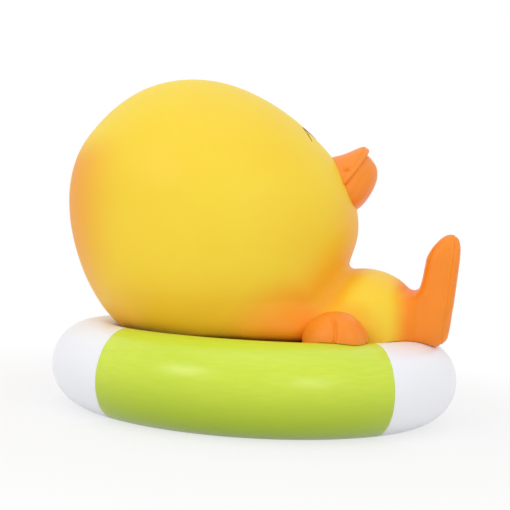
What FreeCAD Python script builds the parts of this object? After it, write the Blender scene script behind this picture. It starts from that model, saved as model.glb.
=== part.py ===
import FreeCAD, Part
import math
import os

# Floating chlorine dispenser in the form of a plain rubber duck lying back on a swim ring.
# Frame: origin under the ring's centre on the surface it rests on, +Z up, +X towards the
# feet, -Y towards the duck's left hand. Millimetres.

os.makedirs("parts", exist_ok=True)
V = FreeCAD.Vector
Z = V(0, 0, 1)

# ---------------------------------------------------------------- driving dimensions
RING_OUTER_D = 220.0        # outside diameter of the swim ring
TUBE_R = 22.2               # radius of the ring's tube
RING_FLAT = 0.3             # depth of the flat on the ring's underside
FLOAT_WALL = 2.2            # wall of the blow-moulded floats
SEAM_AZIMUTH = 44.4         # degrees from the Y axis to a seam, at the tube's centre
SEAM_SKEW = 20.0            # degrees between a seam's plane and the Y axis
DOWEL_R = 7.0               # round dowels across the seams
DOWEL_LENGTH = 20.0
LUG_WIDTH = 9.0             # screw lugs inside the ring, two to a float
LUG_DEPTH = 10.0
LUG_ANGLE = 20.0            # degrees from a float's middle to its lugs
LUG_REACH = 8.0             # how far a lug runs under the carrier plate
PLUG_R = 3.0                # blow-hole plugs of the floats
PLUG_HEAD_R = 5.0
PLUG_HEAD = 1.2

BASE_DROP = 3.1             # duck's flat base below the ring's crest
GASKET = 1.0
PLATE = 3.0                 # carrier plate
PLATE_GAP = 3.5             # carrier plate's edge to the floats
COLLAR_INSET = 0.5          # duck's collar inside the plate's edge
FLANGE = 3.0                # canister flange
FLANGE_GAP = 2.0            # canister flange to the lugs
GASKET_INSET = 1.0          # gaskets inside the edge of what they seal

TABLET_BORE_R = 42.0        # takes 76 mm tablets
CANISTER_WALL = 2.5
CANISTER_BOTTOM = 10.0      # lower lip above the ground plane
CHAMBER_TOP = 68.5          # inside of the dome
DOME_ROUND = 12.0           # outer round of the dome's shoulder
KEY_DEPTH = 1.8             # ribs that keep the tray from turning
KEY_WIDTH = 4.0
SLOT_COUNT = 8
SLOT_ANGLE = 20.0           # degrees, width of a flow slot
SLOT_MARGIN = 2.4           # flow ring left above and below a slot
BEAD = 0.9                  # snap bead that carries the flow ring
BEAD_HEIGHT = 0.7

THREAD_LEAD = 10.0
THREAD_STARTS = 2
THREAD_TURNS = 0.3
RIDGE_DEPTH = 1.6
RIDGE_HEIGHT = 1.7
RIDGE_ROOT = 0.4            # how far a ridge is rooted in its wall

FLOW_RING_WALL = 2.2
FLOW_RING_TRAVEL = 22.5     # degrees from open to shut
TAB_REACH = 8.0
TAB_HALF_ANGLE = 4.0
TAB_CLEARANCE = 1.1         # tab under the clamp screws' heads
STOP_HALF_ANGLE = 1.5
STOP_PLAY = 0.4             # degrees between a tab and its stop
STOP_DROP = 3.0             # how far the stops reach below the tabs' tops

CAP_BOTTOM = 2.0
CAP_TOP = 17.4
CAP_WALL = 3.4
CAP_WEB_BOTTOM = 6.5
CAP_WEB = 2.5
CAP_RIM = 3.0               # foot of the cap around its grip recess
GRIP_WIDTH = 9.0
CAP_RIBS = 20
CAP_RIB_R = 1.6
CAP_HOLES = 8
CAP_HOLE_R = 3.0
CAP_HOLE_CIRCLE = 28.0

TRAY = 2.0
TRAY_LIFT = 1.2             # tray above the canister's lip
TRAY_RIM = 1.8
TRAY_RIM_HEIGHT = 1.6
TRAY_HOLE_R = 3.2
TRAY_HOLES = ((12.5, 6), (21.5, 12), (30.5, 18))   # radius and count of each circle of holes
PIN_R = 3.0
PIN_WALL = 3.0              # tray's boss around the pin
PIN_FLOOR = 1.5             # cap left under the pin
PIN_HEAD_R = 5.5
PIN_HEAD = 1.4

SCREW_R = 1.75
SCREW_HEAD_R = 3.6
SCREW_HEAD = 2.4
SCREW_CROSS = (3.6, 0.9, 1.2)   # length, width and depth of a cross recess
SCREW_SHORT = 2.0           # screw's end short of its hole's
CLAMP_SCREWS = 6
CLAMP_SHIFT = 0.75          # clamp screws outside the middle of the flange
BOSS_R = 4.8
BOSS_HEIGHT = 12.0
BOSS_LID = 1.5              # boss left above its screw hole

SKIN = 2.5                  # wall of the vinyl duck
MOUTH_GAP = 1.8             # duck's mouth around the canister
STUB_R = 5.0                # round stubs that plug bills, hands and feet into the skin

FIT = 0.05                  # fixed fits, radial
RUN = 0.3                   # running clearance between pieces that move past each other
SEAT = 0.3                  # vinyl pieces above the ring that carries them

# ---------------------------------------------------------------- derived sizes
RING_R = RING_OUTER_D / 2 - TUBE_R
TUBE_Z = TUBE_R - RING_FLAT
CREST_Z = TUBE_Z + TUBE_R
BASE_Z = CREST_Z - BASE_DROP
PLATE_TOP = BASE_Z - GASKET
PLATE_Z = PLATE_TOP - PLATE
FLANGE_TOP = PLATE_Z - GASKET
FLANGE_Z = FLANGE_TOP - FLANGE
PLATE_R = RING_R - math.sqrt(TUBE_R**2 - (PLATE_Z - TUBE_Z)**2) - PLATE_GAP
LUG_IN_R = PLATE_R - LUG_REACH
LUG_SCREW_R = PLATE_R - LUG_REACH / 2
CANISTER_R = TABLET_BORE_R + CANISTER_WALL
FLANGE_R = LUG_IN_R - FLANGE_GAP
CLAMP_R = (CANISTER_R + FLANGE_R) / 2 + CLAMP_SHIFT
CAP_IN_R = CANISTER_R + RIDGE_DEPTH + RUN
CAP_R = CAP_IN_R + CAP_WALL
BEAD_Z = CAP_TOP + RUN
FLOW_RING_Z = BEAD_Z + BEAD_HEIGHT + RUN
FLOW_RING_TOP = FLANGE_Z - RUN
FLOW_RING_IN_R = CANISTER_R + RUN
FLOW_RING_R = FLOW_RING_IN_R + FLOW_RING_WALL
SLOT_Z = FLOW_RING_Z + SLOT_MARGIN
SLOT_TOP = FLOW_RING_TOP - SLOT_MARGIN
TAB_TOP = FLANGE_Z - SCREW_HEAD - TAB_CLEARANCE
THREAD_Z = CANISTER_BOTTOM + RIDGE_HEIGHT / 2 + RIDGE_ROOT / 2
CAP_FLOOR = CAP_WEB_BOTTOM + CAP_WEB
TRAY_Z = CAP_FLOOR + GASKET + RUN + TRAY_LIFT
TRAY_TOP = TRAY_Z + TRAY
COLLAR_R = PLATE_R - COLLAR_INSET

# ---------------------------------------------------------------- shared shapes


def save(name, shape):
    shape.exportStep(f"parts/{name}.step")


def tube(outer_r, inner_r, z0, z1):
    ring = Part.makeCylinder(outer_r, z1 - z0, V(0, 0, z0))
    return ring.cut(Part.makeCylinder(inner_r, z1 - z0 + 2, V(0, 0, z0 - 1)))


def disc(radius, z0, z1):
    return Part.makeCylinder(radius, z1 - z0, V(0, 0, z0))


def polar(radius, degrees, z=0.0):
    angle = math.radians(degrees)
    return V(radius * math.cos(angle), radius * math.sin(angle), z)


def sector(r0, r1, z0, z1, middle, half_angle):
    """Block of a ring between two radii, two heights and two angles."""
    block = Part.makeCylinder(r1, z1 - z0, V(0, 0, z0), Z, 2 * half_angle)
    block = block.cut(Part.makeCylinder(r0, z1 - z0 + 2, V(0, 0, z0 - 1)))
    block.rotate(V(0, 0, 0), Z, middle - half_angle)
    return block


def torus(tube_r):
    return Part.makeTorus(RING_R, tube_r, V(0, 0, TUBE_Z))


def ellipsoid(centre, radii):
    ball = Part.makeSphere(1.0)
    matrix = FreeCAD.Matrix()
    matrix.scale(*radii)
    matrix.move(centre)
    return ball.transformGeometry(matrix)


FULL_TURN = [(1, 0, 1.0), (1, 1, math.sqrt(0.5)), (0, 1, 1.0), (-1, 1, math.sqrt(0.5)), (-1, 0, 1.0),
             (-1, -1, math.sqrt(0.5)), (0, -1, 1.0), (1, -1, math.sqrt(0.5)), (1, 0, 1.0)]


def oval_stack(sections):
    """Solid whose level cuts are ellipses, with a flat bottom and a round top.

    Each section is (height, x_min, x_max, half_width), and the last one is the top point."""
    steps = [0.0]
    for low, high in zip(sections, sections[1:]):
        girth = (high[2] - high[1] - low[2] + low[1]) / 2
        steps.append(steps[-1] + math.hypot(high[0] - low[0], girth))
    slope = sections[-2][3] / (sections[-2][2] - sections[-2][1]) * 2
    first, second = sections[:2]
    rise = [(b - a) / steps[1] for a, b in zip(first, second)]
    heights = Part.BSplineCurve()
    heights.interpolate(Points=[V(z, x0, 0) for z, x0, x1, w in sections], Parameters=steps,
                        InitialTangent=V(rise[0], rise[1], 0), FinalTangent=V(0, 1, 0), Scale=False)
    widths = Part.BSplineCurve()
    widths.interpolate(Points=[V(x1, w, 0) for z, x0, x1, w in sections], Parameters=steps,
                       InitialTangent=V(rise[2], rise[3], 0), FinalTangent=V(-1, -slope, 0), Scale=False)
    poles = []
    for low, wide in zip(heights.getPoles(), widths.getPoles()):
        middle, half = (wide.x + low.y) / 2, (wide.x - low.y) / 2
        poles.append([V(middle + half * a, wide.y * b, low.x) for a, b, w in FULL_TURN])
    weights = [[w for a, b, w in FULL_TURN] for row in poles]
    surface = Part.BSplineSurface()
    surface.buildFromPolesMultsKnots(poles, heights.getMultiplicities(), [3, 2, 2, 2, 3],
                                     heights.getKnots(), [0, 1, 2, 3, 4], False, False,
                                     heights.Degree, 2, weights)
    rim = surface.uIso(0.0).toShape()
    shell = Part.makeShell([surface.toShape(), Part.Face(Part.Wire([rim]))])
    shell.sewShape()
    solid = Part.Solid(shell)
    return solid if solid.Volume > 0 else solid.reversed()


def countersunk_screw(seat, length):
    """Drives down from a flush conical head."""
    shank = Part.makeCylinder(SCREW_R, length, seat, -Z)
    return shank.fuse(Part.makeCone(SCREW_HEAD_R, SCREW_R, SCREW_HEAD, seat, -Z)).removeSplitter()


def pan_screw(seat, length):
    """Drives up, its cross-recessed head hanging below its seat."""
    head = Part.makeCylinder(SCREW_HEAD_R, SCREW_HEAD, seat - Z * SCREW_HEAD)
    long, wide, deep = SCREW_CROSS
    for x, y in ((long, wide), (wide, long)):
        head = head.cut(Part.makeBox(x, y, deep, seat - V(x / 2, y / 2, SCREW_HEAD + FIT)))
    return Part.makeCylinder(SCREW_R, length, seat).fuse(head).removeSplitter()


# ---------------------------------------------------------------- the swim ring
# Four hollow floats meet at four upright seams, skewed so that a coloured float is wider
# at the outside of the ring. Round dowels carry each seam.

SEAM_NORMAL = (math.cos(math.radians(SEAM_SKEW)), math.sin(math.radians(SEAM_SKEW)))
SEAM_POINT = (RING_R * math.sin(math.radians(SEAM_AZIMUTH)), RING_R * math.cos(math.radians(SEAM_AZIMUTH)))
SEAM_DISTANCE = SEAM_POINT[0] * SEAM_NORMAL[0] - SEAM_POINT[1] * SEAM_NORMAL[1]
FAR = RING_OUTER_D


def end_prism(side, inset):
    """Upright prism around the front (side 1) or rear (side -1) float, its seams moved in by inset."""
    apex = (SEAM_DISTANCE + inset) / SEAM_NORMAL[0]
    spread = apex + FAR * SEAM_NORMAL[1] / SEAM_NORMAL[0]
    corners = [(apex, 0), (spread, -FAR), (spread + FAR, -FAR), (spread + FAR, FAR), (spread, FAR)]
    return prism([(side * x, y) for x, y in corners])


def side_prism(side, inset):
    """Upright prism around a side float: side -1 is at -Y, 1 at +Y."""
    apex = (SEAM_DISTANCE - inset) / SEAM_NORMAL[0]
    spread = apex + FAR * SEAM_NORMAL[1] / SEAM_NORMAL[0]
    return prism([(apex, 0), (spread, side * FAR), (-spread, side * FAR), (-apex, 0)])


def prism(corners):
    loop = [V(x, y, -1) for x, y in corners]
    face = Part.Face(Part.makePolygon(loop + loop[:1]))
    return face.extrude(V(0, 0, 2 * TUBE_R + 2))


def seams():
    for sx in (1, -1):
        for sy in (1, -1):
            point = V(sx * SEAM_POINT[0], sy * SEAM_POINT[1], TUBE_Z)
            normal = V(sx * SEAM_NORMAL[0], -sy * SEAM_NORMAL[1], 0)
            yield point, normal


def make_float(region, inner_region, middle):
    outside = torus(TUBE_R).common(region).common(disc(FAR, 0, 3 * TUBE_R))
    inside = torus(TUBE_R - FLOAT_WALL).common(inner_region)
    body = outside.cut(inside)
    for point, normal in seams():
        start = point - normal * (DOWEL_LENGTH / 2 + FLOAT_WALL)
        boss = Part.makeCylinder(DOWEL_R + FLOAT_WALL, DOWEL_LENGTH + 2 * FLOAT_WALL, start, normal)
        body = body.fuse(boss.common(outside))
    for point, normal in seams():
        start = point - normal * (DOWEL_LENGTH / 2 + FIT)
        body = body.cut(Part.makeCylinder(DOWEL_R + FIT, DOWEL_LENGTH + 2 * FIT, start, normal))
    for side in (-1, 1):
        angle = middle + side * LUG_ANGLE
        half = math.degrees(LUG_WIDTH / 2 / LUG_SCREW_R)
        lug = sector(LUG_IN_R, RING_R - TUBE_R / 3, PLATE_Z - LUG_DEPTH, PLATE_Z, angle, half)
        body = body.fuse(lug.cut(torus(TUBE_R - FLOAT_WALL / 2)))
        hole = Part.makeCylinder(SCREW_R + FIT, LUG_DEPTH, polar(LUG_SCREW_R, angle, PLATE_Z - LUG_DEPTH + 1))
        body = body.cut(hole)
    inner = polar(RING_R - TUBE_R - FLOAT_WALL, middle, TUBE_Z)
    hole = Part.makeCylinder(PLUG_R + FIT, 3 * FLOAT_WALL, inner, polar(1, middle))
    return body.cut(hole).removeSplitter()


def make_ring():
    save("front_float", make_float(end_prism(1, 0), end_prism(1, FLOAT_WALL), 0))
    save("rear_float", make_float(end_prism(-1, 0), end_prism(-1, FLOAT_WALL), 180))
    save("left_float", make_float(side_prism(-1, 0), side_prism(-1, FLOAT_WALL), 270))
    save("right_float", make_float(side_prism(1, 0), side_prism(1, FLOAT_WALL), 90))
    dowels = []
    for point, normal in seams():
        dowels.append(Part.makeCylinder(DOWEL_R, DOWEL_LENGTH, point - normal * (DOWEL_LENGTH / 2), normal))
    save("ring_dowels", Part.makeCompound(dowels))
    plugs = []
    for angle in (0, 90, 180, 270):
        seat = polar(RING_R - TUBE_R, angle, TUBE_Z)
        stem = Part.makeCylinder(PLUG_R, FLOAT_WALL, seat, polar(1, angle))
        head = Part.makeCylinder(PLUG_HEAD_R, PLUG_HEAD, seat - polar(PLUG_HEAD, angle), polar(1, angle))
        plugs.append(stem.fuse(head.cut(torus(TUBE_R))).removeSplitter())
    save("float_plugs", Part.makeCompound(plugs))


# ---------------------------------------------------------------- ballast
BALLAST_TOP = 9.5           # the cast weight fills the front float's belly up to here
BALLAST_HALF_ANGLE = 22.0


def make_ballast():
    weight = torus(TUBE_R - FLOAT_WALL - FIT)
    weight = weight.common(sector(RING_R - TUBE_R, RING_R + TUBE_R, 0, BALLAST_TOP, 0, BALLAST_HALF_ANGLE))
    save("ballast_weight", weight)


# ---------------------------------------------------------------- carrier plate and its fasteners


def clamp_angles():
    return [30 + 360 / CLAMP_SCREWS * k for k in range(CLAMP_SCREWS)]


def lug_angles():
    return [middle + side * LUG_ANGLE for middle in (0, 90, 180, 270) for side in (-1, 1)]


def clamp_holes(z0, z1):
    return [Part.makeCylinder(SCREW_R + FIT, z1 - z0, polar(CLAMP_R, angle, z0)) for angle in clamp_angles()]


def make_carrier():
    plate = tube(PLATE_R, CANISTER_R + RUN, PLATE_Z, PLATE_TOP)
    screws = []
    for angle in lug_angles():
        seat = polar(LUG_SCREW_R, angle, PLATE_TOP)
        plate = plate.cut(Part.makeCone(SCREW_HEAD_R + FIT, SCREW_R + FIT, SCREW_HEAD, seat, -Z))
        plate = plate.cut(Part.makeCylinder(SCREW_R + FIT, PLATE + 1, seat, -Z))
        screws.append(countersunk_screw(seat, PLATE + LUG_DEPTH - SCREW_SHORT))
    for hole in clamp_holes(PLATE_Z - 1, PLATE_TOP + 1):
        plate = plate.cut(hole)
    save("carrier_plate", plate)
    save("float_screws", Part.makeCompound(screws))
    length = BASE_Z + BOSS_HEIGHT - SCREW_SHORT - FLANGE_Z
    clamps = [pan_screw(polar(CLAMP_R, angle, FLANGE_Z), length) for angle in clamp_angles()]
    save("clamp_screws", Part.makeCompound(clamps))
    lower = tube(FLANGE_R - GASKET_INSET, CANISTER_R + RUN, FLANGE_TOP, PLATE_Z)
    upper = tube(COLLAR_R - GASKET_INSET, CANISTER_R + RUN, PLATE_TOP, BASE_Z)
    for hole in clamp_holes(FLANGE_TOP - 1, BASE_Z + 1):
        lower = lower.cut(hole)
        upper = upper.cut(hole)
    save("canister_gasket", lower)
    save("duck_gasket", upper)


# ---------------------------------------------------------------- canister, flow ring, tray and cap


def thread(radius, outward, z0, turns):
    """Helical ridges, one for each start."""
    sign = 1 if outward else -1
    ridges = []
    for start in range(THREAD_STARTS):
        helix = Part.makeHelix(THREAD_LEAD, THREAD_LEAD * turns, radius)
        root, crest = radius - sign * RIDGE_ROOT, radius + sign * RIDGE_DEPTH
        taper = RIDGE_HEIGHT / 4
        corners = [V(root, 0, -RIDGE_HEIGHT / 2), V(crest, 0, -RIDGE_HEIGHT / 2 + taper),
                   V(crest, 0, RIDGE_HEIGHT / 2 - taper), V(root, 0, RIDGE_HEIGHT / 2)]
        profile = Part.Wire(Part.makePolygon(corners + corners[:1]))
        ridge = Part.Wire(helix).makePipeShell([profile], True, True)
        ridge.rotate(V(0, 0, 0), Z, 360 / THREAD_STARTS * start)
        ridge.translate(V(0, 0, z0))
        ridges.append(ridge)
    return ridges


def window(r0, r1, middle):
    return sector(r0, r1, SLOT_Z, SLOT_TOP, middle, SLOT_ANGLE / 2)


def make_canister():
    top = CHAMBER_TOP + CANISTER_WALL
    pot = disc(CANISTER_R, CANISTER_BOTTOM, top)
    shoulder = [edge for edge in pot.Edges if edge.BoundBox.ZMin > top - 0.1]
    pot = pot.makeFillet(DOME_ROUND, shoulder)
    bore = disc(TABLET_BORE_R, CANISTER_BOTTOM - 1, CHAMBER_TOP)
    ceiling = [edge for edge in bore.Edges if edge.BoundBox.ZMin > CHAMBER_TOP - 0.1]
    bore = bore.makeFillet(DOME_ROUND - CANISTER_WALL, ceiling)
    pot = pot.fuse(tube(FLANGE_R, TABLET_BORE_R, FLANGE_Z, FLANGE_TOP))
    pot = pot.fuse(tube(CANISTER_R + BEAD, TABLET_BORE_R, BEAD_Z, BEAD_Z + BEAD_HEIGHT)).cut(bore)
    for angle in (0, 180):
        for side in (-1, 1):
            away = side * (FLOW_RING_TRAVEL / 2 + TAB_HALF_ANGLE + STOP_HALF_ANGLE + STOP_PLAY)
            stop = sector(FLOW_RING_R + 1, FLOW_RING_R + TAB_REACH - 2, TAB_TOP - STOP_DROP, FLANGE_Z,
                          angle + away, STOP_HALF_ANGLE)
            pot = pot.fuse(stop)
        rib = Part.makeBox(KEY_DEPTH + RIDGE_ROOT, KEY_WIDTH, CHAMBER_TOP - DOME_ROUND - CANISTER_BOTTOM,
                           V(TABLET_BORE_R - KEY_DEPTH, -KEY_WIDTH / 2, CANISTER_BOTTOM))
        rib.rotate(V(0, 0, 0), Z, angle + 90)
        pot = pot.fuse(rib)
    for k in range(SLOT_COUNT):
        pot = pot.cut(window(TABLET_BORE_R - 1, CANISTER_R + 1, 360 / SLOT_COUNT * (k + 0.5)))
    for hole in clamp_holes(FLANGE_Z - 1, FLANGE_TOP + 1):
        pot = pot.cut(hole)
    for ridge in thread(CANISTER_R, True, THREAD_Z, THREAD_TURNS):
        pot = pot.fuse(ridge)
    save("canister", pot)


def make_flow_ring():
    ring = tube(FLOW_RING_R, FLOW_RING_IN_R, FLOW_RING_Z, FLOW_RING_TOP)
    shift = -FLOW_RING_TRAVEL / 2
    for angle in (0, 180):
        tab = sector(FLOW_RING_R - 1, FLOW_RING_R + TAB_REACH, FLOW_RING_Z + 1, TAB_TOP,
                     angle + shift, TAB_HALF_ANGLE)
        ring = ring.fuse(tab.cut(disc(FLOW_RING_IN_R, 0, CREST_Z)))
    for k in range(SLOT_COUNT):
        ring = ring.cut(window(FLOW_RING_IN_R - 1, FLOW_RING_R + RUN, 360 / SLOT_COUNT * (k + 0.5)))
    save("flow_ring", ring.removeSplitter())


def ring_of_holes(radius, count, hole_r, z0, z1):
    angles = [360 / count * (k + 0.5) for k in range(count)]
    return [Part.makeCylinder(hole_r, z1 - z0, polar(radius, angle, z0)) for angle in angles]


def make_tray():
    rim_r = TABLET_BORE_R - 2 * RUN
    tray = disc(rim_r, TRAY_Z, TRAY_TOP)
    tray = tray.fuse(tube(rim_r, rim_r - TRAY_RIM, TRAY_Z, TRAY_TOP + TRAY_RIM_HEIGHT))
    tray = tray.fuse(disc(PIN_R + PIN_WALL, CAP_FLOOR + RUN, TRAY_TOP))
    tray = tray.cut(disc(PIN_R + FIT, 0, TRAY_TOP + 1))
    for radius, count in TRAY_HOLES:
        for hole in ring_of_holes(radius, count, TRAY_HOLE_R, TRAY_Z - 1, TRAY_TOP + 1):
            tray = tray.cut(hole)
    for angle in (90, 270):
        notch = Part.makeBox(KEY_DEPTH + 2, KEY_WIDTH + 2 * RUN, 4 * TRAY,
                             V(TABLET_BORE_R - KEY_DEPTH - RUN, -KEY_WIDTH / 2 - RUN, TRAY_Z - 1))
        notch.rotate(V(0, 0, 0), Z, angle)
        tray = tray.cut(notch)
    save("tablet_tray", tray.removeSplitter())


def make_cap():
    cap = disc(CAP_R, CAP_BOTTOM, CAP_TOP)
    recess_r = CAP_IN_R - CAP_RIM
    cap = cap.cut(disc(CAP_IN_R, CAP_FLOOR, CAP_TOP + 1)).cut(disc(recess_r, CAP_BOTTOM - 1, CAP_WEB_BOTTOM))
    grip = Part.makeBox(2 * recess_r + 2, GRIP_WIDTH, CAP_WEB_BOTTOM - CAP_BOTTOM + 1,
                        V(-recess_r - 1, -GRIP_WIDTH / 2, CAP_BOTTOM))
    cap = cap.fuse(grip)
    for k in range(CAP_RIBS):
        cap = cap.cut(Part.makeCylinder(CAP_RIB_R, CAP_TOP, polar(CAP_R + CAP_RIB_R / 3, 360 / CAP_RIBS * k)))
    for hole in ring_of_holes(CAP_HOLE_CIRCLE, CAP_HOLES, CAP_HOLE_R, CAP_BOTTOM, CAP_FLOOR + 1):
        cap = cap.cut(hole)
    cap = cap.cut(disc(PIN_R + FIT, CAP_BOTTOM + PIN_FLOOR, CAP_FLOOR + 1)).removeSplitter()
    for ridge in thread(CAP_IN_R, False, THREAD_Z + RIDGE_HEIGHT + 1.5 * RUN, THREAD_TURNS):
        cap = cap.fuse(ridge)
    save("cap_shell", cap)
    save("cap_seal", tube(CAP_IN_R - FIT, TABLET_BORE_R + 0.5, CAP_FLOOR, CANISTER_BOTTOM - RUN))
    pin = disc(PIN_R, CAP_BOTTOM + PIN_FLOOR + FIT, TRAY_TOP + RUN)
    save("tray_pin", pin.fuse(disc(PIN_HEAD_R, TRAY_TOP + RUN, TRAY_TOP + RUN + PIN_HEAD)).removeSplitter())


# ---------------------------------------------------------------- the duck
# Heights are above the duck's flat base. The head leans back over the rear float, the round
# belly lies in front of it, and a low collar closes both down onto the carrier plate.

HEAD_SECTIONS = [            # height, x_min, x_max, half width
    (0.0, -74.5, 42.0, 63.5),
    (9.0, -84.5, 45.5, 68.0),
    (21.0, -93.0, 48.5, 71.5),
    (39.0, -101.5, 50.8, 75.0),
    (59.0, -106.8, 53.2, 76.0),
    (77.0, -107.6, 50.0, 74.5),
    (94.0, -103.8, 40.5, 68.0),
    (110.0, -94.0, 25.5, 57.0),
    (122.5, -82.5, 9.5, 43.0),
    (132.0, -68.5, -8.5, 27.5),
    (136.6, -55.5, -22.5, 15.0),
    (138.5, -38.5, -38.5, 0.0),
]
BODY_TURN = -7.0             # the belly, hands and feet lie turned by this against the head, degrees
BELLY_CENTRE = (56.0, 9.0)   # x and height above the base
BELLY_RADII = (31.0, 42.0, 29.4)
COLLAR_HEIGHT = 15.0
COLLAR_ROUND = 9.0


def turned(shape):
    """The shape turned with the duck's body."""
    shape.rotate(V(0, 0, 0), Z, BODY_TURN)
    return shape


def duck_form(inset):
    """The head, belly and collar, all drawn in by inset; the cavity starts a flange's depth up."""
    floor = BASE_Z + (FLANGE if inset else 0)
    rows = [(BASE_Z + h, x0 + inset, x1 - inset, w - inset) for h, x0, x1, w in HEAD_SECTIONS[:-1]]
    top_h, top_x = HEAD_SECTIONS[-1][:2]
    rows = [row for row in rows if row[0] < BASE_Z + top_h - inset and row[3] > 2 * inset]
    rows.append((BASE_Z + top_h - inset, top_x, top_x, 0.0))
    head = oval_stack(rows)
    belly = ellipsoid(V(BELLY_CENTRE[0], 0, BASE_Z + BELLY_CENTRE[1]), [r - inset for r in BELLY_RADII])
    belly = turned(belly)
    collar = disc(COLLAR_R - inset, BASE_Z, BASE_Z + COLLAR_HEIGHT - inset)
    brim = [edge for edge in collar.Edges if edge.BoundBox.ZMin > BASE_Z + 1]
    collar = collar.makeFillet(COLLAR_ROUND - inset, brim)
    form = head.fuse([belly, collar])
    form = form.common(disc(FAR, floor, BASE_Z + 2 * top_h))
    return form.cut(torus(TUBE_R + SEAT + inset))


def stub(start, direction, length, clearance=0.0):
    return Part.makeCylinder(STUB_R + clearance, length + clearance, start, direction)


BILL_DIRECTION = V(-0.9, 0, -0.43)
UPPER_LIP = ((42.0, 94.5), (16.5, 21.0, 6.5), 38)    # centre, radii, tilt
LOWER_LIP = ((48.5, 86.0), (17.0, 21.0, 12.5), 62)
UPPER_STUB = V(44.0, 0, BASE_Z + 97.0)
LOWER_STUB = V(52.0, 0, BASE_Z + 83.0)
STUB_LENGTH = 17.0
LEG_STUB_HEIGHT = 15.0
FOOT_Y = 17.0
FOOT_HALF_WIDTH = 12.5
FOOT_ROUND = 4.5
HAND_ANGLE = 49.5            # degrees from the body's middle
HAND_RADII = (16.0, 16.4, 14.4)
HAND_INSET = 12.0            # hand's centre inside the ring's crest


def stubs(clearance=0.0):
    """Stub of each piece that plugs into the skin, by name."""
    found = {"upper_bill": stub(UPPER_STUB, BILL_DIRECTION, STUB_LENGTH, clearance),
             "lower_bill": stub(LOWER_STUB, BILL_DIRECTION, STUB_LENGTH, clearance)}
    for name, side in (("left", -1), ("right", 1)):
        hip = V(RING_R - 2, side * FOOT_Y, BASE_Z + LEG_STUB_HEIGHT)
        found[f"{name}_foot"] = turned(stub(hip, V(-1, 0, 0), STUB_LENGTH + 4, clearance))
        shoulder = polar(COLLAR_R + 4, side * HAND_ANGLE, BASE_Z + STUB_R + 2)
        inward = polar(-1, side * HAND_ANGLE)
        found[f"{name}_hand"] = turned(stub(shoulder, inward, STUB_LENGTH - 2, clearance))
    return found


def lip(centre, radii, tilt):
    """Half of the bill: an ellipsoid whose long axis rises by tilt degrees towards the tip."""
    form = ellipsoid(V(0, 0, 0), radii)
    form.rotate(V(0, 0, 0), V(0, -1, 0), tilt)
    form.translate(V(centre[0], 0, BASE_Z + centre[1]))
    return form


def make_bill(form, plugs):
    upper = lip(*UPPER_LIP)
    lower = lip(*LOWER_LIP).cut(upper).cut(form)
    upper = upper.cut(form)
    save("upper_bill", upper.fuse(plugs["upper_bill"]))
    save("lower_bill", lower.fuse(plugs["lower_bill"]))


def foot_form(middle_y):
    """A boot lying on its back: flat upright sole, toe up, heel down on the ring."""
    outline = [(-24, 8), (-24, 21), (-15, 26), (-7.8, 27.1), (-3.7, 28.4), (-0.8, 31.7), (0.5, 37),
               (2.0, 47), (4.9, 51.6), (9.3, 56.3), (13.9, 58.0), (17.5, 56.7), (19.7, 52), (19.7, 45),
               (18.9, 35), (16.9, 12), (16.0, 4), (12.5, 0.3), (8, -1), (0, 0.5), (-12, 3.5)]
    curve = Part.BSplineCurve()
    curve.interpolate(Points=[V(RING_R + x, middle_y - FOOT_HALF_WIDTH, BASE_Z + z) for x, z in outline],
                      PeriodicFlag=True)
    body = Part.Face(Part.Wire(curve.toShape())).extrude(V(0, 2 * FOOT_HALF_WIDTH, 0))
    rims = [edge for edge in body.Edges if edge.BoundBox.YLength < 0.1]
    return turned(body.makeFillet(FOOT_ROUND, rims))


def hand_form(side):
    hand = ellipsoid(V(RING_R - HAND_INSET, 0, CREST_Z), HAND_RADII)
    hand.rotate(V(0, 0, 0), Z, side * HAND_ANGLE)
    return turned(hand)


def make_duck():
    form = duck_form(0)
    cavity = duck_form(SKIN)
    mouth = disc(CANISTER_R + MOUTH_GAP, BASE_Z - 1, BASE_Z + FLANGE + 1)
    skin = form.cut(cavity).cut(mouth)
    for angle in clamp_angles():
        skin = skin.fuse(Part.makeCylinder(BOSS_R, BOSS_HEIGHT, polar(CLAMP_R, angle, BASE_Z)).common(form))
    for hole in clamp_holes(BASE_Z - 1, BASE_Z + BOSS_HEIGHT - BOSS_LID):
        skin = skin.cut(hole)
    for plug in stubs(FIT).values():
        skin = skin.cut(plug)
    save("duck_shell", skin)
    plugs = stubs()
    make_bill(form, plugs)
    bed = torus(TUBE_R + SEAT)
    for name, side in (("left", -1), ("right", 1)):
        foot = foot_form(side * FOOT_Y).cut(form).cut(bed)
        save(f"{name}_foot", foot.fuse(plugs[f"{name}_foot"]).removeSplitter())
        hand = hand_form(side).cut(form).cut(bed).cut(disc(RING_R, 0, BASE_Z))
        save(f"{name}_hand", hand.fuse(plugs[f"{name}_hand"]).removeSplitter())


make_ring()
make_ballast()
make_carrier()
make_canister()
make_flow_ring()
make_tray()
make_cap()
make_duck()
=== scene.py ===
import bmesh
import bpy
import math
import numpy as np
from mathutils import Matrix, Vector
from mathutils.bvhtree import BVHTree


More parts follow.
